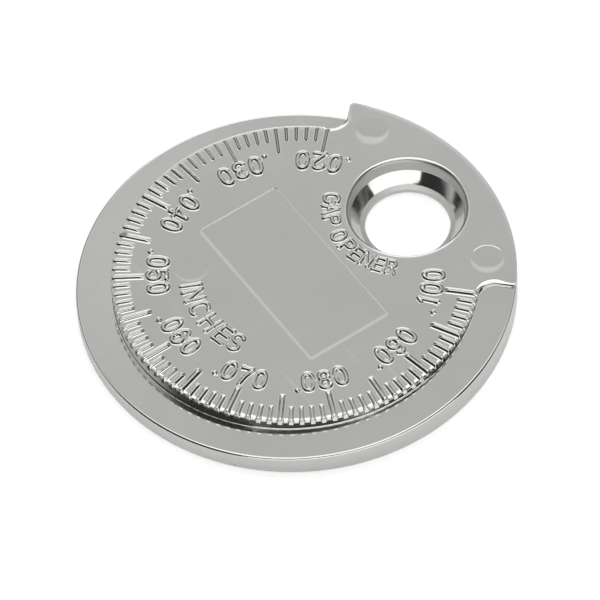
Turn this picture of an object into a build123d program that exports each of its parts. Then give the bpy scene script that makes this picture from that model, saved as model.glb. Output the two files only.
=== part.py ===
# Coin-type spark plug gap gauge: one zinc alloy die casting, plated bright.
# Millimetres. +Z is up, the back lies on z = 0 and the origin is under the disc's centre.
# +Y points through the middle of the tab that holds the gap opener hole.
from build123d import *
import math
import os

# Inch scale and the gauging rim
inch = 25.4
scale_start = 0.020 * inch      # rim thickness at the first tick
scale_end = 0.100 * inch        # rim thickness at the last tick
scale_steps = 80                # ticks 0.001 in apart
long_tick_every = 5
scale_sweep = 270.0             # degrees from the first tick to the last, counter-clockwise
disc_radius = 19.05
rim_edge_radius = 0.22          # rounding of the rim's outer top edge
back_edge_radius = 0.12         # rounding of the outer edge at the back

# Raised body that carries the scale, and the tab between the scale's two ends
rim_width = 3.12                # from the body's wall to the disc's side
thick_end_step = 0.36           # face above the thick end of the rim
face_edge_radius = 0.25         # rounding of the face's edge
tab_margin = 1.45               # from an end tick's centre line to the tab's flank
tab_corner_radius = 0.40        # outer corner of each flank
tab_root_radius = 1.50          # hollow corner between a flank and the body's wall

# Scale ticks: round-topped ridges
tick_half_width = 0.20
long_tick_length = 2.90
short_tick_length = 1.62
tick_end_inset = 0.03           # a tick's outer end stops this far inside the body's wall

# Gap opener hole: a bowl that runs down to a thin bending lip at the back
lip_radius = 3.73
lip_edge_height = 0.38          # top of the lip's edge above the back
lip_back_chamfer = 0.10
lip_width = 0.40
lip_rise = 0.17                 # the lip's upper side climbs this much to its root
bowl_run = 0.80                 # the lower wall's spread, from the lip's root to the upper wall
mouth_run = 0.30                # the upper wall's spread, up to the mouth
mouth_depth = 1.12              # the upper wall's height
mouth_edge_radius = 0.22
bowl_hollow = 0.05               # how far the lower wall is hollowed between its two ends
opener_edge_wall = 2.07         # metal between the mouth and the disc's side

# Shallow marks of the die in the face
panel_length = 17.1
panel_width = 8.2
panel_depth = 0.05
panel_offset = -0.26            # panel's centre along Y
pin_mark_radius = 1.50
pin_mark_depth = 0.06
tab_pin_edge_wall = 1.00        # from a tab mark to the disc's side
tab_pin_flank_wall = 0.91       # from a tab mark to the tab's flank
body_pin_circle = 9.05
body_pin_angle = 231.4

# Worked out from the sizes above
face_height = scale_end + thick_end_step
body_radius = disc_radius - rim_width
tab_middle = 90.0
half_tab = (360.0 - scale_sweep) / 2
first_tick_angle = tab_middle + half_tab
tick_pitch = scale_sweep / scale_steps
rise_per_degree = (scale_end - scale_start) / scale_sweep
flank_angle = math.degrees(math.asin(tab_margin / body_radius))
lip_root_radius = lip_radius + lip_width
bowl_radius = lip_root_radius + bowl_run
mouth_radius = bowl_radius + mouth_run
opener_offset = disc_radius - opener_edge_wall - mouth_radius
tab_pin_circle = disc_radius - tab_pin_edge_wall - pin_mark_radius
tab_pin_inset = tab_margin + tab_pin_flank_wall + pin_mark_radius
tab_pin_angle = half_tab - math.degrees(math.asin(tab_pin_inset / tab_pin_circle))
over_run = flank_angle + 3.75   # degrees that the ramp's cutter runs past each end tick
clear = 3.0                     # how far cutters reach past what they cut
edge_overlap = 0.004            # the edge rounding meets the disc's side at a clean corner


def rim_thickness(past_first_tick):
    """Rim thickness at an angle counted counter-clockwise from the first tick."""
    return scale_start + rise_per_degree * past_first_tick


def face_outline():
    """Body circle with the tab standing out of it, its flanks parallel to the end ticks."""
    tip = tab_margin / math.sin(math.radians(half_tab))
    across = (disc_radius + clear) * math.sin(math.radians(half_tab))
    along = (disc_radius + clear) * math.cos(math.radians(half_tab))
    wedge = Polygon(
        (0, tip),
        (across, tip + along),
        (0, tip + 2 * along),
        (-across, tip + along),
        align=None,
    )
    outline = Circle(body_radius) + (wedge & Circle(disc_radius))
    roots = [v for v in outline.vertices() if abs(math.hypot(v.X, v.Y) - body_radius) < 0.01]
    outline = fillet(roots, tab_root_radius)
    corners = [v for v in outline.vertices() if abs(math.hypot(v.X, v.Y) - disc_radius) < 0.01]
    return fillet(corners, tab_corner_radius)


def space_above_ramp():
    """What is cut away above the rim: its helical floor rounds down over the rim's outer edge."""
    start = first_tick_angle - over_run
    span = scale_sweep + 2 * over_run
    inner = body_radius - clear
    outer = disc_radius + clear
    top = face_height + clear
    round_start = disc_radius + edge_overlap - rim_edge_radius
    section = Plane.XZ * make_face(
        Line((inner, 0), (round_start, 0))
        + CenterArc((round_start, -rim_edge_radius), rim_edge_radius, 90, -90)
        + Polyline(
            (disc_radius + edge_overlap, -rim_edge_radius),
            (outer, -rim_edge_radius),
            (outer, top),
            (inner, top),
            (inner, 0),
        )
    )
    path = Edge.make_helix(
        pitch=rise_per_degree * 360.0,
        height=rise_per_degree * span,
        radius=body_radius,
    )
    swept = Solid.sweep(section.face(), path, is_frenet=True)
    return Pos(0, 0, rim_thickness(-over_run)) * Rot(0, 0, start) * swept


def tick_ridge(length):
    """A round-topped ridge along +X, its axis on z = 0. It has a ball at both ends, and the outer
    ball stands on a post that runs down inside the body's wall."""
    outer = body_radius - tick_end_inset
    inner = outer - length
    inner_ball = inner + tick_half_width
    outer_ball = outer - tick_half_width
    half_section = make_face(
        CenterArc((inner_ball, 0), tick_half_width, 90, 90)
        + Line((inner, 0), (outer, 0))
        + CenterArc((outer_ball, 0), tick_half_width, 0, 90)
        + Line((outer_ball, tick_half_width), (inner_ball, tick_half_width))
    )
    standing = (Align.CENTER, Align.CENTER, Align.MAX)
    post = Pos(outer_ball, 0, 0) * Cylinder(tick_half_width, face_edge_radius, align=standing)
    return revolve(half_section, Axis.X) + post


def scale_ticks():
    """Ridges all round the scale, every fifth one long."""
    ticks = []
    for step in range(scale_steps + 1):
        length = long_tick_length if step % long_tick_every == 0 else short_tick_length
        angle = first_tick_angle + step * tick_pitch
        ticks.append(Pos(0, 0, face_height) * Rot(0, 0, angle) * tick_ridge(length))
    return ticks


def opener_hole():
    """The hole's cutter: steep mouth, bowl, sloping lip and a small chamfer at the back."""
    bowl_top = (bowl_radius, face_height - mouth_depth)
    bowl_foot = (lip_root_radius, lip_edge_height + lip_rise)
    run, drop = bowl_top[0] - bowl_foot[0], bowl_top[1] - bowl_foot[1]
    bowl_length = math.hypot(run, drop)
    bowl_middle = (
        (bowl_top[0] + bowl_foot[0]) / 2 + bowl_hollow * drop / bowl_length,
        (bowl_top[1] + bowl_foot[1]) / 2 - bowl_hollow * run / bowl_length,
    )
    profile = (
        Polyline(
            (0, -clear),
            (0, face_height + clear),
            (mouth_radius + clear, face_height + clear),
            (mouth_radius + clear, face_height),
            (mouth_radius, face_height),
            bowl_top,
        )
        + ThreePointArc(bowl_top, bowl_middle, bowl_foot)
        + Polyline(
            bowl_foot,
            (lip_radius, lip_edge_height),
            (lip_radius, lip_back_chamfer),
            (lip_radius + lip_back_chamfer, 0),
            (lip_radius + lip_back_chamfer, -clear),
            (0, -clear),
        )
    )
    section = Plane.XZ * make_face(profile)
    return Pos(0, opener_offset, 0) * revolve(section, Axis.Z)


def shallow_marks():
    """The sunk panel and the round marks of the ejector pins."""
    standing = (Align.CENTER, Align.CENTER, Align.MIN)
    panel = Box(panel_length, panel_width, clear, align=standing)
    marks = [Pos(0, panel_offset, face_height - panel_depth) * panel]
    pin = Cylinder(pin_mark_radius, clear, align=standing)
    places = [
        (tab_pin_circle, tab_middle + tab_pin_angle),
        (tab_pin_circle, tab_middle - tab_pin_angle),
        (body_pin_circle, body_pin_angle),
    ]
    for circle, angle in places:
        marks.append(Rot(0, 0, angle) * Pos(circle, 0, face_height - pin_mark_depth) * pin)
    return marks


def rounded_blank():
    """Disc with the ramp cut round it, and its face and back edges rounded."""
    around = Circle(disc_radius + clear / 2) - face_outline()
    blank = Rot(0, 0, tab_middle) * Cylinder(
        disc_radius, face_height, align=(Align.CENTER, Align.CENTER, Align.MIN)
    )
    blank = blank - (extrude(around, face_height + clear, both=True) & space_above_ramp())
    lowest_wall = face_height - rim_thickness(scale_sweep + flank_angle)
    face_rounding = min(face_edge_radius, 0.8 * lowest_wall)
    face_edges = blank.edges().filter_by_position(Axis.Z, face_height, face_height)
    blank = fillet(face_edges, face_rounding)
    back_edges = blank.edges().filter_by_position(Axis.Z, 0, 0)
    return fillet(back_edges, back_edge_radius)


def opener_mouth(gauge):
    """The edge where the opener hole meets the face."""
    circles = gauge.edges().filter_by(GeomType.CIRCLE)
    return [edge for edge in circles if abs(edge.radius - mouth_radius) < 0.001]


def build_gauge():
    gauge = rounded_blank() - opener_hole() - shallow_marks()
    gauge = fillet(opener_mouth(gauge), mouth_edge_radius)
    return gauge + scale_ticks()


os.makedirs("parts", exist_ok=True)
export_step(build_gauge(), "parts/gauge_disc.step")
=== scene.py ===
import bmesh
import bpy
import math
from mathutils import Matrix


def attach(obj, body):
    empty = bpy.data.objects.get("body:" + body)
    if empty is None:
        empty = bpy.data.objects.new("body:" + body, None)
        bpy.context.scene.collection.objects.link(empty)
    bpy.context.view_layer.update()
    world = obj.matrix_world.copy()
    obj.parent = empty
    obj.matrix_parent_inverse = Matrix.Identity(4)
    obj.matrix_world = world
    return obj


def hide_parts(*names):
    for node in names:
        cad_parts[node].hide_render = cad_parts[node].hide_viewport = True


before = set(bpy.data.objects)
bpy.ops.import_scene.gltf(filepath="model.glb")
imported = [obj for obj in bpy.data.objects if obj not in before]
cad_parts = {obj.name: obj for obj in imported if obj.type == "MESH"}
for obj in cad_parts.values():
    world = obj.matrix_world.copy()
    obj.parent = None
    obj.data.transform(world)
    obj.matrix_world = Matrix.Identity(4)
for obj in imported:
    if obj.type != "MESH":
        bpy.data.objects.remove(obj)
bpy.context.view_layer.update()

mm = 0.001

# Camera: a long lens far above the disc, on the side of the scale's last numbers. Its place, turn and
# length were fitted to the ticks, the rim's two edges and the outline in the photograph.
camera_place = (265.355 * mm, -164.037 * mm, 422.371 * mm)
camera_turn = (36.3128, 2.1166, 55.3575)
lens_length = 364.62
sensor_width = 36.0
far_limit = 10.0

lens = bpy.data.cameras.new("photo_camera")
lens.lens = lens_length
lens.sensor_width = sensor_width
lens.clip_end = far_limit
camera = bpy.data.objects.new("photo_camera", lens)
camera.location = camera_place
camera.rotation_euler = [math.radians(turn) for turn in camera_turn]
bpy.context.scene.collection.objects.link(camera)
bpy.context.scene.camera = camera

# The casting: a zinc alloy disc with a raised body and a tab, and round them the gauging rim, which
# climbs like a thread from 0.020 to 0.100 inch. It is die cast in one piece and plated bright.
rim_start = 0.508
rim_end = 2.54
scale_turn = 270.0
disc_radius = 19.05
body_radius = 15.88
face_height = 2.90
flank_offset = 1.45
root_rounding = 1.50
corner_rounding = 0.40
first_tick = 135.0
last_tick = first_tick + scale_turn

# Slow roll of the face's edge and the small corner below it, less full at the tab's corners and flatter
# on the far side of the scale
roll_radius = 0.90
roll_turn = 28.0
corner_radius = 0.07
corner_share = 0.48
corner_fade = 1.2
corner_shift = 0.2
far_flatness = 0.80
roll_fade = (235.0, 275.0)
edge_width = corner_radius - (corner_radius - roll_radius) * math.sin(math.radians(roll_turn))

# Fillet at the foot of the body's wall and the rounded edges of the rim and the back
foot_rounding = 0.10
foot_fade = 0.3
rim_rounding = 0.22
back_rounding = 0.12

# Cuts of the rounded parts, and narrow rings beside them that keep the flat parts' shading flat
round_step = 0.75
root_cuts = 20
flank_cuts = 8
corner_cuts = 10
round_cuts = 7
rim_cuts = 6
foot_cuts = 5
back_cuts = 6
wall_shares = (0.12, 0.88)
face_collar = 0.16
holding_width = 0.05

# Distances within which corners count as one, as level with a plane or as touching the disc's edge, and
# the angle in degrees up to which faces shade as one
merge_reach = 0.0002
level_reach = 0.001
touching = 0.000001
casting_smoothing = 32.0


def arc_points(centre, radius, start, end, cuts):
    """Points on an arc in the plane, both ends included, with each one's direction from the centre."""
    points = []
    for cut in range(cuts + 1):
        turn = math.radians(start + (end - start) * cut / cuts)
        away = (math.cos(turn), math.sin(turn))
        points.append((centre[0] + radius * away[0], centre[1] + radius * away[1], away))
    return points


def flank_run():
    """Outline from the body's wall through the hollow root, the flank and the tab's outer corner.
    Points are along and across the end tick's line; each has the direction out of the metal."""
    root_across = flank_offset - root_rounding
    root_along = math.sqrt((body_radius + root_rounding) ** 2 - root_across ** 2)
    root_start = 180.0 + math.degrees(math.atan2(root_across, root_along))
    corner_across = flank_offset + corner_rounding
    corner_along = math.sqrt((disc_radius - corner_rounding) ** 2 - corner_across ** 2)
    corner_end = math.degrees(math.atan2(corner_across, corner_along))
    run = []
    root = arc_points((root_along, root_across), root_rounding, root_start, 90.0, root_cuts)
    for along, across, away in root:
        run.append((along, across, (-away[0], -away[1])))
    for cut in range(1, flank_cuts):
        along = root_along + (corner_along - root_along) * cut / flank_cuts
        run.append((along, flank_offset, (0.0, -1.0)))
    run.extend(arc_points((corner_along, corner_across), corner_rounding, -90.0, corner_end, corner_cuts))
    return run


def turned(along, across, angle):
    """A place or direction along and across a line at this angle, in the part's plane."""
    cosine, sine = math.cos(math.radians(angle)), math.sin(math.radians(angle))
    return (along * cosine - across * sine, along * sine + across * cosine)


def edge_run(radius, start, end):
    """Outline points on a circle round the disc's middle, without the two ends."""
    cuts = round((end - start) / round_step)
    angles = [start + (end - start) * cut / cuts for cut in range(1, cuts)]
    return [(turned(radius, 0.0, angle), turned(1.0, 0.0, angle), angle, angle) for angle in angles]


def face_outline():
    """The face's outline, counter-clockwise from the thin end. Each point has its place, the direction
    out of the metal, its own angle and the angle on the disc's edge that the rim's strip runs to."""
    run = flank_run()
    lengths = [0.0]
    for before, after in zip(run, run[1:]):
        lengths.append(lengths[-1] + math.hypot(after[0] - before[0], after[1] - before[1]))
    start = math.degrees(math.atan2(run[0][1], run[0][0]))
    end = math.degrees(math.atan2(run[-1][1], run[-1][0]))
    outline = edge_run(body_radius, first_tick - start, last_tick + start)
    for (along, across, away), length in zip(run, lengths):
        angle = last_tick + math.degrees(math.atan2(across, along))
        joined = last_tick + start + (end - start) * length / lengths[-1]
        outline.append((turned(along, across, last_tick), turned(*away, last_tick), angle, joined))
    outline += edge_run(disc_radius, last_tick + end, first_tick - end + 360.0)
    for (along, across, away), length in zip(reversed(run), reversed(lengths)):
        angle = first_tick + 360.0 - math.degrees(math.atan2(across, along))
        joined = first_tick + 360.0 - start - (end - start) * length / lengths[-1]
        place = turned(along, -across, first_tick)
        outline.append((place, turned(away[0], -away[1], first_tick), angle, joined))
    return outline


tab_reach = math.degrees(math.atan2(flank_run()[-1][1], flank_run()[-1][0]))


def rim_thickness(angle):
    """The rim's thickness at an angle past the first tick's. Under the tab it joins the two ends."""
    rise = (rim_end - rim_start) / scale_turn
    thick = rim_start + rise * (scale_turn + tab_reach)
    thin = rim_start - rise * tab_reach
    past_thick = angle - (last_tick + tab_reach)
    tab_width = 360.0 - scale_turn - 2 * tab_reach
    if past_thick <= 0.0:
        return rim_start + rise * (angle - first_tick)
    if past_thick <= tab_width:
        return thick + (thin - thick) * past_thick / tab_width
    return rim_start + rise * (angle - 360.0 - first_tick)


def floor_height(radius, angle):
    """Height of the rim's top, which rounds down over the disc's edge."""
    past = min(max(radius - (disc_radius - rim_rounding), 0.0), rim_rounding)
    return rim_thickness(angle) - rim_rounding + math.sqrt(rim_rounding ** 2 - past ** 2)


def edge_size(point):
    """How full the face's rolled edge is: all of it, but about half round the tab's two corners."""
    along, across = flank_run()[-1][:2]
    nearest = corner_fade
    for end, side in ((last_tick, 1), (first_tick, -1)):
        corner = turned(along - corner_rounding, side * (across + corner_shift * corner_rounding), end)
        nearest = min(nearest, math.hypot(point[0][0] - corner[0], point[0][1] - corner[1]))
    return corner_share + (1 - corner_share) * (nearest / corner_fade) ** 2


def edge_profile():
    """Insets and drops from the flat face over its slow roll and its small corner to the wall."""
    profile = []
    rolled = math.sin(math.radians(roll_turn))
    sunk = roll_radius * (1 - math.cos(math.radians(roll_turn)))
    corner_width = corner_radius * (1 - rolled)
    for cut in range(1, round_cuts + 1):
        turn = math.radians(roll_turn * cut / round_cuts)
        profile.append((-corner_width - roll_radius * (rolled - math.sin(turn)),
                        roll_radius * (1 - math.cos(turn))))
    for cut in range(1, round_cuts + 1):
        turn = math.radians(roll_turn + (90.0 - roll_turn) * cut / round_cuts)
        profile.append((-corner_radius * (1 - math.sin(turn)),
                        sunk + corner_radius * (math.cos(math.radians(roll_turn)) - math.cos(turn))))
    return profile


def offset_point(point, offset, drop):
    """A corner beside an outline point: out of the metal by this offset and below the face by this drop."""
    (x, y), (out_x, out_y) = point[:2]
    beyond = max(math.hypot(x, y) - body_radius, 0.0) / (disc_radius - body_radius)
    past = min(max((point[2] - roll_fade[0]) / (roll_fade[1] - roll_fade[0]), 0.0), 1.0)
    if point[2] > last_tick:
        past = 1 - beyond
    offset, drop = offset * edge_size(point), drop * edge_size(point) * (1 - far_flatness * (1 - past))
    return ((x + out_x * offset) * mm, (y + out_y * offset) * mm, (face_height - drop) * mm)


def foot_size(point):
    """Radius of the fillet at the wall's foot, which fades out before the disc's edge."""
    room = disc_radius - rim_rounding - math.hypot(*point[0])
    return foot_rounding * min(max(room / foot_fade, 0.0), 1.0)


def foot_point(point, turn):
    """A corner on the fillet at the foot, from the wall (0) to the rim's top (90)."""
    size = foot_size(point)
    offset = size * (1 - math.cos(math.radians(turn)))
    x, y = [coordinate + out * offset for coordinate, out in zip(point[0], point[1])]
    height = floor_height(math.hypot(x, y), point[2]) + size * (1 - math.sin(math.radians(turn)))
    return (x * mm, y * mm, height * mm)


def wall_point(point, share):
    """A corner on the wall, at this share of the way from the face's rolled edge down to the foot."""
    start, end = offset_point(point, *edge_profile()[-1]), foot_point(point, 0.0)
    return [first + (last - first) * share for first, last in zip(start, end)]


def foot_reach(point):
    """How far from the disc's middle the fillet at the foot ends."""
    x, y = [coordinate + out * foot_size(point) for coordinate, out in zip(point[0], point[1])]
    return math.hypot(x, y)


def rim_point(point, radius):
    """A corner on the rim's top, on the strip that runs out from this outline point."""
    size = foot_size(point)
    x, y = [coordinate + out * size for coordinate, out in zip(point[0], point[1])]
    start = min(math.hypot(x, y), disc_radius)
    own = point[2] + math.degrees(math.atan2(y, x)) - math.degrees(math.atan2(point[0][1], point[0][0]))
    reached = max(radius, start)
    share = (reached - start) / (disc_radius - start) if start < disc_radius - touching else 0.0
    angle = own + (point[3] - own) * share
    x, y = turned(reached, 0.0, angle)
    return (x * mm, y * mm, floor_height(reached, angle) * mm)


def edge_point(point, radius, height):
    """A corner on the disc's side or back edge."""
    x, y = turned(radius, 0.0, point[3])
    return (x * mm, y * mm, height * mm)


def side_point(point):
    """A corner on the disc's side, just under the rounded edge of the rim."""
    x, y, height = rim_point(point, disc_radius)
    return (x, y, height - holding_width * mm)


def extrude_to(points):
    """Extrudes the selected ring and puts its new corners on these points."""
    bpy.ops.mesh.extrude_edges_move()
    drawn = bmesh.from_edit_mesh(bpy.context.object.data)
    ring = [corner for corner in drawn.verts if corner.select]
    for corner, point in zip(ring, points):
        corner.co = point
    bmesh.update_edit_mesh(bpy.context.object.data)


def quarter(cuts, first=1):
    """Even angles from 0 to 90 degrees, counted from this cut."""
    return [90.0 * cut / cuts for cut in range(first, cuts + 1)]


outline = face_outline()
bpy.ops.object.select_all(action="DESELECT")
bpy.ops.mesh.primitive_circle_add(vertices=len(outline), radius=body_radius * mm)
casting = bpy.context.object
casting.name = "gauge_casting"
bpy.ops.object.mode_set(mode="EDIT")
bpy.ops.mesh.select_all(action="SELECT")
drawn = bmesh.from_edit_mesh(casting.data)
for corner, point in zip(drawn.verts, outline):
    corner.co = offset_point(point, -edge_width - face_collar, 0.0)
bmesh.update_edit_mesh(casting.data)
extrude_to([offset_point(point, -edge_width, 0.0) for point in outline])
for inset, drop in edge_profile():
    extrude_to([offset_point(point, inset, drop) for point in outline])
for share in wall_shares:
    extrude_to([wall_point(point, share) for point in outline])
for turn in quarter(foot_cuts, 0):
    extrude_to([foot_point(point, turn) for point in outline])
rim_edge = disc_radius - rim_rounding
cut_radii = [body_radius + (rim_edge - body_radius) * cut / rim_cuts for cut in range(1, rim_cuts)]

# Where a flank's foot lies past the rim's first cut, the ring that holds it falls on the foot's own ring.
held = [foot_reach(point) + holding_width for point in outline]
held = [radius if radius < cut_radii[0] else 0.0 for radius in held]
extrude_to([rim_point(point, radius) for point, radius in zip(outline, held)])
for radius in cut_radii + [rim_edge - holding_width, rim_edge]:
    extrude_to([rim_point(point, radius) for point in outline])
for turn in quarter(round_cuts):
    radius = disc_radius - rim_rounding * (1 - math.sin(math.radians(turn)))
    extrude_to([rim_point(point, radius) for point in outline])
extrude_to([side_point(point) for point in outline])
extrude_to([edge_point(point, disc_radius, back_rounding + holding_width) for point in outline])
for turn in quarter(back_cuts, 0):
    radius = disc_radius - back_rounding * (1 - math.cos(math.radians(turn)))
    height = back_rounding * (1 - math.sin(math.radians(turn)))
    extrude_to([edge_point(point, radius, height) for point in outline])

# Gap opener hole: a bowl through the tab that runs down to a thin lip at the back, on which a plug's
# electrode is bent. It is cast with the disc. Radii and heights are given in pairs.
opener_place = 11.75
opener_cuts = 144
mouth_rounding = 0.36
mouth_radius = 5.17
bowl_top = (4.93, 1.72)
lip_root = (4.13, 0.67)
lip_edge = (3.73, 0.50)
lip_chamfer = 0.10
bowl_hollow = 0.02


def opener_ring(radius, height):
    """Corners of a ring round the opener hole."""
    ring = []
    for cut in range(opener_cuts):
        x, y = turned(radius, 0.0, 360.0 * cut / opener_cuts)
        ring.append((x * mm, (opener_place + y) * mm, height * mm))
    return ring


def rounded_mouth():
    """Radius and height of each ring of the mouth's rounding, from the face down the upper wall."""
    turn = math.atan2(face_height - bowl_top[1], mouth_radius - bowl_top[0])
    reach = mouth_rounding * math.tan(turn / 2)
    centre = (mouth_radius + reach, face_height - mouth_rounding)
    rings = []
    for cut in range(round_cuts + 1):
        part = turn * cut / round_cuts
        rings.append((centre[0] - mouth_rounding * math.sin(part),
                      centre[1] + mouth_rounding * math.cos(part)))
    return rings


def hollow_bowl():
    """Rings down the bowl, which bulges a little out of the straight line between its two ends. Those
    two are given exactly, because they are marked sharp."""
    run, drop = lip_root[0] - bowl_top[0], lip_root[1] - bowl_top[1]
    length = math.hypot(run, drop)
    rings = []
    for cut in range(round_cuts + 1):
        share = cut / round_cuts
        bulge = 4 * bowl_hollow * share * (1 - share)
        rings.append((bowl_top[0] + run * share - bulge * drop / length,
                      bowl_top[1] + drop * share + bulge * run / length))
    return [bowl_top] + rings[1:-1] + [lip_root]


mouth = rounded_mouth()
collar_radius = mouth[0][0] + face_collar
bpy.ops.mesh.primitive_circle_add(vertices=opener_cuts, radius=collar_radius * mm)
drawn = bmesh.from_edit_mesh(casting.data)
ring = [corner for corner in drawn.verts if corner.select]
for corner, point in zip(ring, opener_ring(collar_radius, face_height)):
    corner.co = point
bmesh.update_edit_mesh(casting.data)
lip = [lip_edge, (lip_edge[0], lip_chamfer), (lip_edge[0] + lip_chamfer, 0.0)]
for radius, height in mouth + hollow_bowl() + lip:
    extrude_to(opener_ring(radius, height))
    if (radius, height) in (bowl_top, lip_root):
        bpy.ops.mesh.mark_sharp()

# Marks of the die in the face: the shallow sunk panel in the middle, and the round marks of the three
# ejector pins that pushed the casting out, two on the tab and one on the body. Two of the panel's sides
# slope softly towards the camera's side, and the other two are nearly sharp.
panel_length = 17.1
panel_width = 8.2
panel_place = -0.26
panel_depth = 0.026
panel_near_slope = 0.30
panel_far_slope = 0.045
panel_far_collar = 0.03
panel_corner = 0.30
least_corner = 0.05
panel_cuts = 6
pin_radius = 1.50
pin_cuts = 48
pin_far_slope = 0.10

# Each pin mark has its circle and angle, its middle depth, how much deeper its deep side is, the bearing
# of that side and the width of the slope there.
pin_marks = [(16.55, 121.5, 0.030, 0.030, -45.0, 0.85), (16.55, 58.5, 0.028, 0.018, -35.0, 0.60),
             (9.05, 231.4, 0.006, 0.006, -45.0, 0.25)]

# Rings of a mark: shares of its slope's width, with one ring before it and one past it, and how far each
# ring after the first has sunk.
mark_steps = (-1.0, 0.0, 0.33, 0.67, 1.0, 2.0)
mark_falls = (0.0, 0.26, 0.74, 1.0, 1.0)


def panel_ring(near, far):
    """Corners round the sunk panel, this far inside its upper edge on its two soft and two sharp sides."""
    corners = []
    radius = max(panel_corner - near, least_corner)
    for turn, side_x, side_y in ((0, 1, 1), (90, -1, 1), (180, -1, -1), (270, 1, -1)):
        inset_x = near if side_x == 1 else far
        inset_y = far if side_y == 1 else near
        centre = (side_x * (panel_length / 2 - inset_x - radius),
                  panel_place + side_y * (panel_width / 2 - inset_y - radius))
        corners += [(x, y) for x, y, away in arc_points(centre, radius, turn, turn + 90, panel_cuts)]
    return corners


def pin_ring(circle, angle, share, near_slope, near_bearing):
    """Corners round a pin mark at this share of its slope, which is widest on its deep side."""
    centre = turned(circle, 0.0, angle)
    corners = []
    for cut in range(pin_cuts):
        turn = 360.0 * cut / pin_cuts
        deep = (1 + math.cos(math.radians(turn - near_bearing))) / 2
        slope = pin_far_slope + (near_slope - pin_far_slope) * deep ** 2
        collar = face_collar * (min(share, 0.0) + max(share - 1, 0.0))
        x, y = turned(pin_radius - slope * min(max(share, 0.0), 1.0) - collar, 0.0, turn)
        corners.append((centre[0] + x, centre[1] + y))
    return corners


def sunk_mark(rings, depths):
    """Draws a mark's outer ring in the face, extrudes its sloping wall down to the sunk floor and fills
    that. The floor's depth is given for each corner, so it can lean a little."""
    bpy.ops.mesh.select_all(action="DESELECT")
    bpy.ops.mesh.primitive_circle_add(vertices=len(rings[0]), radius=pin_radius * mm)
    drawn = bmesh.from_edit_mesh(casting.data)
    ring = [corner for corner in drawn.verts if corner.select]
    for corner, (x, y) in zip(ring, rings[0]):
        corner.co = (x * mm, y * mm, face_height * mm)
    bmesh.update_edit_mesh(casting.data)
    for places, share in zip(rings[1:], mark_falls):
        extrude_to([(x * mm, y * mm, (face_height - depth * share) * mm)
                    for (x, y), depth in zip(places, depths)])
    bpy.ops.mesh.edge_face_add()


panel_rings = [panel_ring(-face_collar, -panel_far_collar)]
for share in mark_steps[1:-1]:
    panel_rings.append(panel_ring(share * panel_near_slope, share * panel_far_slope))
panel_rings.append(panel_ring(panel_near_slope + face_collar, panel_far_slope + panel_far_collar))
sunk_mark(panel_rings, [panel_depth] * len(panel_rings[0]))
for circle, angle, depth, lean, near_bearing, near_slope in pin_marks:
    depths = [depth + lean * math.cos(2 * math.pi * cut / pin_cuts - math.radians(near_bearing))
              for cut in range(pin_cuts)]
    sunk_mark([pin_ring(circle, angle, share, near_slope, near_bearing) for share in mark_steps], depths)

# The open edges in the face's plane and in the back's plane are each filled as one face with holes.
bpy.ops.mesh.select_all(action="SELECT")
bpy.ops.mesh.remove_doubles(threshold=merge_reach * mm)
bpy.ops.mesh.select_mode(type="EDGE")
for height in (face_height, 0.0):
    bpy.ops.mesh.select_all(action="DESELECT")
    drawn = bmesh.from_edit_mesh(casting.data)
    for edge in drawn.edges:
        level = all(abs(corner.co.z - height * mm) < level_reach * mm for corner in edge.verts)
        edge.select_set(edge.is_boundary and level)
    bmesh.update_edit_mesh(casting.data)
    bpy.ops.mesh.fill(use_beauty=True)
bpy.ops.mesh.select_all(action="SELECT")
bpy.ops.mesh.normals_make_consistent(inside=False)
bpy.ops.object.mode_set(mode="OBJECT")
bpy.ops.object.shade_smooth_by_angle(angle=math.radians(casting_smoothing), keep_sharp_edges=True)

# Plating: a bright metal coat over the whole casting. It follows the fine grain under it, the hole's
# upper wall is coarser and has painted shade in its colour, the lip is dulled by use, and the face has
# hairline scratches, smudges, a few specks and one stain.
plate_colour = (0.725, 0.725, 0.705, 1.0)
speck_stain_and_shade_colour = (0.30, 0.30, 0.29, 1.0)
smooth_finish = 0.10
dull_finish = 0.46
wall_finish = 0.38
smudge_finish = 0.04
scratch_finish = 0.05

# Worn and coarse places: the lip within its root, the upper wall of the hole, which also gets painted
# shade, and one oval stain
lip_limits = (4.10 * mm, 4.20 * mm)
wall_limits = (5.22 * mm, 5.32 * mm)
wall_heights = (1.70 * mm, 1.85 * mm)
# Share of the dark colour put on the hole's upper wall as painted shade
wall_painted_shade = 0.30
wall_coarseness = 3.0
stain_place = (-12.01 * mm, -9.70 * mm, 3.0 * mm)
stain_limits = (0.22 * mm, 0.40 * mm)

# Patterns: how many waves or features there are for each metre, the limits that turn them into marks,
# and their depths. Scratches run two ways, each with its turn in degrees and its number for each metre.
grain_density = 6500.0
wave_density = 420.0
smudge_density = 150.0
speck_density = 420.0
smudge_limits = (0.35, 0.75)
speck_limits = (0.020, 0.045)
scratch_runs = ((62.0, 2300.0), (-24.0, 2900.0))
scratch_stretch = 0.05
scratch_limits = (0.745, 0.785)
scratch_depth = -0.25
grain_depth = 0.0016 * mm
wave_depth = 0.010 * mm

plating = bpy.data.materials.new("bright_plating_finish")
plating.use_nodes = True
shader = plating.node_tree.nodes["Principled BSDF"]
shader.inputs["Metallic"].default_value = 1.0


def add_node(tree, kind, **values):
    """A node with these values. A name in lower case is a setting, and any other name is a socket."""
    node = tree.nodes.new(kind)
    for name, value in values.items():
        if name.islower():
            setattr(node, name, value)
        else:
            node.inputs[name.replace("_", " ")].default_value = value
    return node


def add_math(tree, operation, *values):
    """Works with these numbers or sockets, and gives the socket of the result."""
    node = add_node(tree, "ShaderNodeMath", operation=operation)
    for entry, value in zip(node.inputs, values):
        if isinstance(value, float):
            entry.default_value = value
        else:
            tree.links.new(value, entry)
    return node.outputs["Value"]


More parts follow.
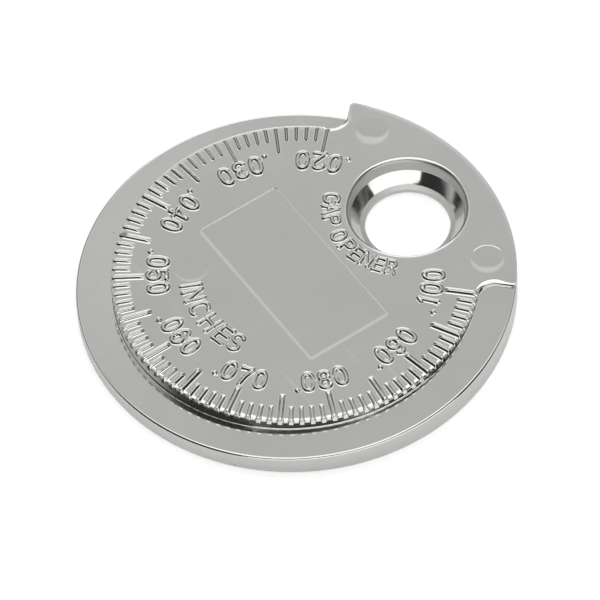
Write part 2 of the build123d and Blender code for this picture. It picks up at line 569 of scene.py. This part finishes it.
def add_step(tree, value, limits, results=(0.0, 1.0), interpolation="SMOOTHSTEP"):
    """Maps a socket's value between two limits to two results, and gives the socket of the result."""
    node = add_node(tree, "ShaderNodeMapRange", interpolation_type=interpolation,
                    From_Min=limits[0], From_Max=limits[1], To_Min=results[0], To_Max=results[1])
    tree.links.new(value, node.inputs["Value"])
    return node.outputs["Result"]


tree = plating.node_tree
own_place = add_node(tree, "ShaderNodeTexCoord").outputs["Object"]
grain = add_node(tree, "ShaderNodeTexNoise", Scale=grain_density, Detail=3.0, Roughness=0.6)
waves = add_node(tree, "ShaderNodeTexNoise", Scale=wave_density, Detail=2.0, Roughness=0.5)
smudge = add_node(tree, "ShaderNodeTexNoise", Scale=smudge_density, Detail=4.0, Roughness=0.55)
specks = add_node(tree, "ShaderNodeTexVoronoi", Scale=speck_density, Randomness=1.0)
for texture in (grain, waves, smudge, specks):
    tree.links.new(own_place, texture.inputs["Vector"])

# The lip and the upper wall are found by the distance from the hole's middle and the height.
hole_place = add_node(tree, "ShaderNodeVectorMath", operation="SUBTRACT")
hole_place.inputs[1].default_value = (0.0, opener_place * mm, 0.0)
tree.links.new(own_place, hole_place.inputs[0])
split_place = add_node(tree, "ShaderNodeSeparateXYZ")
tree.links.new(hole_place.outputs["Vector"], split_place.inputs["Vector"])
aside, ahead, upward = split_place.outputs
squares = [add_math(tree, "MULTIPLY", part, part) for part in (aside, ahead)]
hole_distance = add_math(tree, "SQRT", add_math(tree, "ADD", *squares))
lip_wear = add_step(tree, hole_distance, lip_limits, (1.0, 0.0))
wall_ring = add_step(tree, hole_distance, wall_limits, (1.0, 0.0))
wall = add_math(tree, "MULTIPLY", wall_ring, add_step(tree, upward, wall_heights))

scratch_masks = []
for turn, density in scratch_runs:
    stretched = add_node(tree, "ShaderNodeMapping", Rotation=(0.0, 0.0, math.radians(turn)),
                         Scale=(scratch_stretch, 1.0, 1.0))
    tree.links.new(own_place, stretched.inputs["Vector"])
    lines = add_node(tree, "ShaderNodeTexNoise", Scale=density, Detail=1.0, Roughness=0.4)
    tree.links.new(stretched.outputs["Vector"], lines.inputs["Vector"])
    scratch_masks.append(add_step(tree, lines.outputs["Fac"], scratch_limits))
scratches = add_math(tree, "MAXIMUM", *scratch_masks)
stain_distance = add_node(tree, "ShaderNodeVectorMath", operation="DISTANCE")
stain_distance.inputs[1].default_value = stain_place
tree.links.new(own_place, stain_distance.inputs[0])
stain = add_step(tree, stain_distance.outputs["Value"], stain_limits, (1.0, 0.0))
smudges = add_step(tree, smudge.outputs["Fac"], smudge_limits)

# Darker colour: the specks, painted shade on the hole's upper wall, and the stain
tone = add_step(tree, specks.outputs["Distance"], speck_limits, (1.0, 0.0))
tone = add_math(tree, "MAXIMUM", tone, add_math(tree, "MULTIPLY", wall, wall_painted_shade))
tone = add_math(tree, "MAXIMUM", tone, stain)
colour = add_node(tree, "ShaderNodeValToRGB")
colour.color_ramp.elements[0].color = plate_colour
colour.color_ramp.elements[1].color = speck_stain_and_shade_colour
tree.links.new(tone, colour.inputs["Fac"])
tree.links.new(colour.outputs["Color"], shader.inputs["Base Color"])

polish = add_math(tree, "MULTIPLY_ADD", smudges, smudge_finish, smooth_finish)
polish = add_math(tree, "MULTIPLY_ADD", scratches, scratch_finish, polish)
polish = add_math(tree, "MULTIPLY_ADD", lip_wear, dull_finish - smooth_finish, polish)
polish = add_math(tree, "MULTIPLY_ADD", wall, wall_finish - smooth_finish, polish)
polish = add_math(tree, "MULTIPLY_ADD", stain, dull_finish - smooth_finish, polish)
tree.links.new(polish, shader.inputs["Roughness"])

coarse = add_math(tree, "MULTIPLY_ADD", wall, wall_coarseness, 1.0)
grain_height = add_math(tree, "MULTIPLY", grain.outputs["Fac"], coarse)
height = add_math(tree, "MULTIPLY_ADD", scratches, scratch_depth, grain_height)
fine_bump = add_node(tree, "ShaderNodeBump", Strength=1.0, Distance=grain_depth)
broad_bump = add_node(tree, "ShaderNodeBump", Strength=1.0, Distance=wave_depth)
tree.links.new(height, fine_bump.inputs["Height"])
tree.links.new(waves.outputs["Fac"], broad_bump.inputs["Height"])
tree.links.new(broad_bump.outputs["Normal"], fine_bump.inputs["Normal"])
tree.links.new(fine_bump.outputs["Normal"], shader.inputs["Normal"])
casting.data.materials.append(plating)
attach(casting, "root")
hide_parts("gauge_disc")

# Scale ticks: 81 low ridges round the body's edge, every fifth one long, cast and plated with the disc.
# Each has a hollow foot, a steep flank, a flat crown, a sloped inner end and a front that leans back at
# the body's wall. The first ones, on the far side, are lower.
scale_steps = 80
long_every = 5
tick_end = 15.86
long_tick = 2.91
short_tick = 1.66
tick_reach = 0.38
tick_height = 0.190
long_size = 0.98
short_size = 0.84
ridge_sink = 0.30

# Section of a ridge: shares of its height at equal steps from its edge to its middle, and the shares of
# its reach where the flank and the flat crown begin
ridge_rises = (0.0, 0.01, 0.045, 0.11, 0.22, 0.42, 0.64, 0.86, 1.0, 1.0, 1.0)
flank_share = 0.60
crown_share = 0.20

# Lines: how much of the section's shape and how much of a ball's is in their round ends, and how the
# cutter's plunge widens their starts
end_section_part = 0.4
least_end_square = 0.002
plunge_size = 1.26
plunge_run = 0.30
stroke_hold = 0.08
strokes_smoothing = 50.0

# Shaping of the ticks after they are drawn: the degrees before the first tick that still count towards
# it, the low and the slim ticks at the scale's start, and slopes as rises for each millimetre along
before_first = 45.0
low_ticks = 34
low_share = 0.79
thin_ticks = 18
thin_share = 0.74
thin_size = 0.92
thin_crown = 0.002
thin_inset = 0.17
inner_slope = 0.44
inner_sink = 0.02
outer_slope = 0.55
slope_start = 15.66
front_lean = 0.34
front_width = flank_share * short_size * tick_reach
front_run = 0.02


def ridge_side(reach, height):
    """One side of a ridge, from the face to the middle of its crown: a wide hollow foot, a steep flank
    and a narrow flat crown."""
    return [(reach * (1 - step / (len(ridge_rises) - 1)), height * rise)
            for step, rise in enumerate(ridge_rises)]


def ridge_section(name, reach, height, sink):
    """A closed section for ridges, sunk a little into the face."""
    side = ridge_side(reach, height)
    points = [(side[0][0], -sink)] + side
    points += [(-x, y) for x, y in reversed(points[:-1])]
    curve = bpy.data.curves.new(name, "CURVE")
    spline = curve.splines.new("POLY")
    spline.points.add(len(points) - 1)
    spline.use_cyclic_u = True
    for corner, (x, y) in zip(spline.points, points):
        corner.co = (x * mm, y * mm, 0.0, 1.0)
    section = bpy.data.objects.new(name, curve)
    bpy.context.scene.collection.objects.link(section)
    return section


def new_strokes(name, section):
    """An empty drawing whose lines carry this section."""
    curve = bpy.data.curves.new(name, "CURVE")
    curve.dimensions = "2D"
    curve.fill_mode = "NONE"
    curve.bevel_mode = "OBJECT"
    curve.bevel_object = section
    curve.use_fill_caps = True
    strokes = bpy.data.objects.new(name, curve)
    bpy.context.scene.collection.objects.link(strokes)
    return strokes


def stroke_end(end, inner, reach):
    """A line's round end, from its tip in to the end's own place and on along the line, where a few
    more places hold the full width. Each place has its size."""
    length = math.hypot(end[0] - inner[0], end[1] - inner[1])
    away = ((end[0] - inner[0]) / length, (end[1] - inner[1]) / length)
    places = []
    for beyond, rise in ridge_side(reach, 1.0)[:-1]:
        round_part = math.sqrt(max(1.0 - (beyond / reach) ** 2, least_end_square))
        size = end_section_part * rise + (1 - end_section_part) * round_part
        places.append((end[0] + away[0] * beyond, end[1] + away[1] * beyond, size))
    places.append((*end, 1.0))
    for run in (stroke_hold, 2 * stroke_hold, plunge_run, plunge_run + stroke_hold):
        if run < length / 2:
            places.append((end[0] - away[0] * run, end[1] - away[1] * run, 1.0))
    return places


def draw_stroke(strokes, path, reach, closed=False, full=1.0, start_size=plunge_size):
    """Adds a line through these places in the plane. It is wider at its start, where the cutter of the
    die plunged in, and an open line has round ends."""
    points = [(x, y, 1.0) for x, y in path]
    if not closed:
        points = stroke_end(path[0], path[1], reach) + points[1:-1]
        points += reversed(stroke_end(path[-1], path[-2], reach))
    spline = strokes.data.splines.new("POLY")
    spline.points.add(len(points) - 1)
    spline.use_cyclic_u = closed
    for corner, (x, y, size) in zip(spline.points, points):
        plunge = max(1.0 - math.hypot(x - path[0][0], y - path[0][1]) / plunge_run, 0.0)
        corner.co = (x * mm, y * mm, 0.0, 1.0)
        corner.radius = full * size * (1 + (start_size - 1) * plunge)


def finished_strokes(strokes, section):
    """Makes the drawn lines a mesh on the face, with the same depth under it everywhere, and plates it."""
    bpy.ops.object.select_all(action="DESELECT")
    strokes.select_set(True)
    bpy.context.view_layer.objects.active = strokes
    bpy.ops.object.convert(target="MESH")
    bpy.data.objects.remove(section)
    bpy.ops.object.mode_set(mode="EDIT")
    bpy.ops.mesh.select_all(action="SELECT")
    bpy.ops.transform.translate(value=(0.0, 0.0, face_height * mm))
    bpy.ops.mesh.remove_doubles(threshold=merge_reach * mm)
    bpy.ops.mesh.normals_make_consistent(inside=False)
    drawn = bmesh.from_edit_mesh(strokes.data)
    for corner in drawn.verts:
        if corner.co.z < (face_height - level_reach) * mm:
            corner.co.z = (face_height - ridge_sink) * mm
    bmesh.update_edit_mesh(strokes.data)
    bpy.ops.object.mode_set(mode="OBJECT")
    bpy.ops.object.shade_smooth_by_angle(angle=math.radians(strokes_smoothing))
    strokes.data.materials.clear()
    strokes.data.materials.append(plating)
    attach(strokes, "root")


def tick_corner(x, y, z):
    """A corner's place once its tick is shaped. Along and across are counted on the tick's own line,
    and the rise from the face."""
    past = math.degrees(math.atan2(y, x)) - first_tick
    step = round(((past + before_first) % 360.0 - before_first) * scale_steps / scale_turn)
    angle = first_tick + scale_turn * step / scale_steps
    along, across = turned(x, y, -angle)
    rise = z - face_height
    length = long_tick if step % long_every == 0 else short_tick

    # The foot follows the roll of the face's edge down.
    if rise > -level_reach:
        past_roll = max(along - body_radius + edge_width, 0.0)
        rise -= (1 - rise / tick_height) * past_roll ** 2 / (2 * roll_radius)

    # A slim tick's crown shrinks to its middle line, and the others get a sloped inner and outer end.
    if step < thin_ticks:
        half_crown = crown_share * thin_size * tick_reach
        across = math.copysign(max(abs(across) - half_crown, thin_crown), across)
    elif rise > -ridge_sink / 2:
        rise = min(rise, max(inner_slope * (along - tick_end + length), -inner_sink))
        rise = min(rise, tick_height + outer_slope * (slope_start - along))
    if rise > 0.0 and step < low_ticks:
        rise *= thin_share if step < thin_ticks else low_share

    # The front is no wider than a short tick, and leans back with its rise.
    if along > body_radius - front_run:
        across = min(max(across, -front_width), front_width)
    front = tick_end - front_lean * rise - (thin_inset if step < thin_ticks else 0.0)
    x, y = turned(min(along, front), across, angle)
    return (x, y, face_height + rise)


section = ridge_section("tick_section", tick_reach, tick_height, ridge_sink)
ticks = new_strokes("scale_ticks", section)
for step in range(scale_steps + 1):
    angle = first_tick + scale_turn * step / scale_steps
    length, full = (long_tick, long_size) if step % long_every == 0 else (short_tick, short_size)
    full = thin_size if step < thin_ticks else full
    outer = tick_end - crown_share * tick_reach
    inner = tick_end - length + flank_share * tick_reach
    ends = [turned(inner, 0.0, angle), turned(outer, 0.0, angle)]
    draw_stroke(ticks, ends, tick_reach, full=full, start_size=1.0)
finished_strokes(ticks, section)
for corner in ticks.data.vertices:
    place = [coordinate / mm for coordinate in corner.co]
    corner.co = [coordinate * mm for coordinate in tick_corner(*place)]
bpy.ops.object.mode_set(mode="EDIT")
bpy.ops.mesh.select_all(action="SELECT")
bpy.ops.mesh.remove_doubles(threshold=merge_reach * mm)
bpy.ops.object.mode_set(mode="OBJECT")

# Numbers: raised single-line digits beside every tenth tick, their tops towards the disc's centre.
# They were cut into the die line by line and are cast and plated with the disc.
label_count = 9
label_turn = scale_turn / (label_count - 1)
digit_side = 0.31
digit_height = 0.15
sign_sink = 0.03
digit_circle = 11.93
digit_pitch = 6.77
digit_reach = 0.45
digit_half_height = 0.83
dot_circle = 12.72
dot_turn = -11.3
dot_half_length = 0.01
one_turn = 0.6
bend_cosine = 0.8
lettering_centre = (-0.10, 0.063)

# Degrees that each number stands past its own tick
label_drift = (0.6, 0.3, 0.4, 0.1, -0.1, 0.2, -0.1, 0.1, -0.6)


def oval(centre_x, centre_y, reach_x, reach_y, start=0.0, end=360.0, cuts=28, power=2.3):
    """Places on an oval, fuller than an ellipse where the power is over 2."""
    places = []
    for cut in range(cuts + 1):
        turn = math.radians(start + (end - start) * cut / cuts)
        across, up = math.cos(turn), math.sin(turn)
        places.append((
            centre_x + reach_x * math.copysign(abs(across) ** (2 / power), across),
            centre_y + reach_y * math.copysign(abs(up) ** (2 / power), up),
        ))
    return places


def digit_lines(digit):
    """The lines of a digit: places across and up from its middle in millimetres, and whether the line
    is closed. An oval has its centre, its reaches, its start and end in degrees, cuts and fullness."""
    x, y = digit_reach, digit_half_height
    if digit == "0":
        return [(oval(0, 0, x, y, 90.0, 450.0)[:-1], True)]
    if digit == "1":
        return [([(0.0, -y), (0.0, y), (-0.24, y - 0.22)], False)]
    if digit == "2":
        top = oval(0, y - 0.46, x, 0.46, 165.0, -38.0, 16, 2.0)
        return [(top + [(-x, -y), (x, -y)], False)]
    if digit == "3":
        upper = oval(0, y - 0.42, x - 0.03, 0.42, 155.0, -80.0, 14, 2.0)
        lower = oval(0, -y + 0.46, x, 0.46, 80.0, -155.0, 14, 2.0)
        return [(upper, False), (lower, False)]
    if digit == "4":
        return [([(0.2, -y), (0.2, y), (-x, -0.32), (x + 0.08, -0.32)], False)]
    if digit == "5":
        lower = oval(0, -y + 0.54, x, 0.54, 125.0, -150.0, 16, 2.0)
        return [([(x - 0.04, y), (-x + 0.06, y), (-x + 0.02, 0.10)] + lower, False)]
    if digit == "6":
        lower = oval(0, -y + 0.50, x, 0.50, 0.0, 360.0, 22, 2.1)
        back = oval(0.02, -y + 0.55, x + 0.02, 2 * y - 0.55, 180.0, 50.0, 14, 2.2)
        return [(lower[:-1], True), (back, False)]
    if digit == "7":
        return [([(-x, y), (x, y), (0.08, -0.02), (-0.14, -y)], False)]
    if digit == "8":
        upper = oval(0, y - 0.40, x - 0.05, 0.40, 0.0, 360.0, 20, 2.0)
        lower = oval(0, -y + 0.46, x, 0.46, 0.0, 360.0, 22, 2.1)
        return [(upper[:-1], True), (lower[:-1], True)]
    upper = oval(0, y - 0.50, x, 0.50, 0.0, 360.0, 22, 2.1)
    back = oval(-0.02, y - 0.55, x + 0.02, 2 * y - 0.55, 0.0, -130.0, 14, 2.2)
    return [(upper[:-1], True), (back, False)]


def runs_of(path):
    """Splits a line at its sharp corners, so that each run has its own round ends."""
    runs = [[path[0]]]
    for before, corner, after in zip(path, path[1:], path[2:]):
        runs[-1].append(corner)
        come = math.atan2(corner[1] - before[1], corner[0] - before[0])
        go = math.atan2(after[1] - corner[1], after[0] - corner[0])
        if math.cos(go - come) < bend_cosine:
            runs.append([corner])
    runs[-1].append(path[-1])
    return runs


def draw_glyph(strokes, lines, circle, angle, reach, centre):
    """Draws a sign on a circle round a centre, its top towards that centre."""
    for places, closed in lines:
        path = []
        for across, up in places:
            x, y = turned(circle - up, across, angle)
            path.append((centre[0] + x, centre[1] + y))
        for run in [path] if closed else runs_of(path):
            draw_stroke(strokes, run, reach, closed)


section = ridge_section("digit_section", digit_side, digit_height, sign_sink)
numbers = new_strokes("scale_numbers", section)
for label, drift in enumerate(label_drift):
    middle = first_tick + label_turn * label + drift
    thousandths = 10 * (label + 2)
    for place, sign in enumerate("%03d" % thousandths):
        turn = (place - 1) * digit_pitch + (one_turn if sign == "1" else 0.0)
        draw_glyph(numbers, digit_lines(sign), digit_circle, middle + turn, digit_side, lettering_centre)
    dot = [([(0.0, -dot_half_length), (0.0, dot_half_length)], False)]
    draw_glyph(numbers, dot, dot_circle, middle + dot_turn, digit_side, lettering_centre)
finished_strokes(numbers, section)

# Words: the unit beside the scale and the job of the hole, in raised single-line letters that are cast
# and plated like the numbers. Each letter has its own angle and reach to each side, as the die's
# engraver spaced them.
letter_side = 0.27
letter_height = 0.13
unit_circle = 9.1
unit_half_height = 0.82
unit_letters = [("I", 244.2, 0.0), ("N", 251.0, 0.47), ("C", 260.9, 0.55), ("H", 271.6, 0.52),
                ("E", 282.7, 0.50), ("S", 291.4, 0.48)]
opener_circle = 6.62
opener_half_height = 0.64
opener_letters = [("G", 226.1, 0.48), ("A", 236.4, 0.42), ("P", 246.4, 0.40), ("O", 262.0, 0.44),
                  ("P", 273.9, 0.41), ("E", 284.0, 0.41), ("N", 293.2, 0.39), ("E", 303.4, 0.38),
                  ("R", 312.9, 0.34)]


def letter_lines(letter, x, y):
    """The lines of a letter with this reach across and up from its middle, given as a digit's are."""
    if letter == "I":
        return [([(0.0, y), (0.0, -y)], False)]
    if letter == "N":
        return [([(-x, -y), (-x, y), (x, -y), (x, y)], False)]
    if letter == "C":
        return [(oval(0, 0, x, y, 50.0, 310.0, 22), False)]
    if letter == "H":
        posts = [([(-x, -y), (-x, y)], False), ([(x, -y), (x, y)], False)]
        return posts + [([(-x, 0.06), (x, 0.06)], False)]
    if letter == "E":
        return [([(x, y), (-x, y), (-x, -y), (x, -y)], False), ([(-x, 0.0), (x, 0.0)], False)]
    if letter == "S":
        upper = oval(0, y / 2, x, y / 2, 30.0, 270.0, 12, 2.0)
        lower = oval(0, -y / 2, x, y / 2, 90.0, -150.0, 12, 2.0)
        return [(upper + lower[1:], False)]
    if letter == "G":
        return [(oval(0, 0, x, y, 50.0, 345.0, 22) + [(x, -0.08), (x * 0.2, -0.08)], False)]
    if letter == "A":
        bar = [(-x * 0.55, -y * 0.2), (x * 0.55, -y * 0.2)]
        return [([(-x, -y), (0.0, y), (x, -y)], False), (bar, False)]
    if letter == "O":
        return [(oval(0, 0, x, y)[:-1], True)]
    bowl = [(-x, -y), (-x, y)]
    bowl += oval(x - y / 2, y / 2, y / 2, y / 2, 90.0, -90.0, 10, 2.0) + [(-x, 0.0)]
    if letter == "R":
        return [(bowl, False), ([(0.0, 0.0), (x, -y)], False)]
    return [(bowl, False)]


section = ridge_section("letter_section", letter_side, letter_height, sign_sink)
words = new_strokes("scale_words", section)
for letter, angle, reach in unit_letters:
    lines = letter_lines(letter, reach, unit_half_height)
    draw_glyph(words, lines, unit_circle, angle, letter_side, lettering_centre)
for letter, angle, reach in opener_letters:
    lines = letter_lines(letter, reach, opener_half_height)
    draw_glyph(words, lines, opener_circle, angle, letter_side, (0.0, opener_place))
finished_strokes(words, section)

# Floor: a wide sheet of matt white card, just under the gauge's back. It glows white to the camera, more
# faintly to reflections and not at all to other light, so that it keeps the gauge's soft shadow.
table_drop = 0.1
table_size = 6.0
table_colour = (0.92, 0.92, 0.92, 1.0)
table_roughness = 0.9
glow_colour = (1.0, 1.0, 1.0, 1.0)
camera_glow = 0.54
glossy_glow = 0.20

bpy.ops.object.select_all(action="DESELECT")
bpy.ops.mesh.primitive_plane_add(size=table_size, location=(0.0, 0.0, -table_drop * mm))
floor = bpy.context.object
floor.name = "floor"
white_top = bpy.data.materials.new("floor_white")
white_top.use_nodes = True
tree = white_top.node_tree
shader = tree.nodes["Principled BSDF"]
shader.inputs["Base Color"].default_value = table_colour
shader.inputs["Roughness"].default_value = table_roughness
shader.inputs["Specular IOR Level"].default_value = 0.0
shader.inputs["Emission Color"].default_value = glow_colour
rays = add_node(tree, "ShaderNodeLightPath")
glow = add_math(tree, "MULTIPLY", rays.outputs["Is Glossy Ray"], glossy_glow)
glow = add_math(tree, "MULTIPLY_ADD", rays.outputs["Is Camera Ray"], camera_glow, glow)
tree.links.new(glow, shader.inputs["Emission Strength"])
floor.data.materials.append(white_top)

# Light: three soft boxes in a photographer's room, one overhead, a tall one on the far side and a low
# one on the camera's side. The room is grey high up on the far side, and dark near the table and on the
# camera's side.
camera_side = -31.72


def soft_box(name, bearing, distance, height, tilt, width, length, brightness):
    """A soft light at this bearing from the camera's side, turned to face the gauge. Sizes are in
    metres."""
    lamp = bpy.data.lights.new(name, "AREA")
    lamp.shape = "RECTANGLE"
    lamp.size = width
    lamp.size_y = length
    lamp.energy = brightness * math.pi * width * length
    box = bpy.data.objects.new(name, lamp)
    turn = math.radians(camera_side + bearing)
    box.location = (distance * math.cos(turn), distance * math.sin(turn), height)
    box.rotation_euler = (math.radians(tilt), 0.0, turn + math.pi / 2)
    bpy.context.scene.collection.objects.link(box)


soft_box("overhead", bearing=0.0, distance=0.04, height=1.0, tilt=0.0,
         width=0.86, length=1.08, brightness=1.12)
soft_box("far_side", bearing=180.0, distance=1.5, height=0.63, tilt=90.0,
         width=0.86, length=1.26, brightness=1.05)
soft_box("camera_low", bearing=19.5, distance=1.0, height=0.325, tilt=90.0,
         width=2.12, length=0.65, brightness=1.40)

# Room: limits are shares of a direction's upward part, or of its part towards the camera's side
room_heights = (0.42, 0.64)
room_sides = (0.02, -0.28)
top_heights = (0.74, 0.795)
top_greys = (0.74, 0.558)
low_sides = (0.15, -0.30)
low_greys = (0.035, 0.20)

world = bpy.data.worlds.new("studio")
world.use_nodes = True
bpy.context.scene.world = world
tree = world.node_tree
direction = add_node(tree, "ShaderNodeTexCoord")
to_camera = add_node(tree, "ShaderNodeVectorRotate", rotation_type="Z_AXIS",
                     Angle=math.radians(-camera_side))
split = add_node(tree, "ShaderNodeSeparateXYZ")
tree.links.new(direction.outputs["Generated"], to_camera.inputs["Vector"])
tree.links.new(to_camera.outputs["Vector"], split.inputs["Vector"])
upward, sideways = split.outputs["Z"], split.outputs["X"]
share = add_math(tree, "MULTIPLY", add_step(tree, upward, room_heights),
                 add_step(tree, sideways, room_sides))
room = add_node(tree, "ShaderNodeMapRange")
tree.links.new(share, room.inputs["Value"])
tree.links.new(add_step(tree, sideways, low_sides, low_greys), room.inputs["To Min"])
tree.links.new(add_step(tree, upward, top_heights, top_greys, "LINEAR"), room.inputs["To Max"])
tree.links.new(room.outputs["Result"], tree.nodes["Background"].inputs["Color"])

bpy.context.scene.view_settings.view_transform = "Standard"
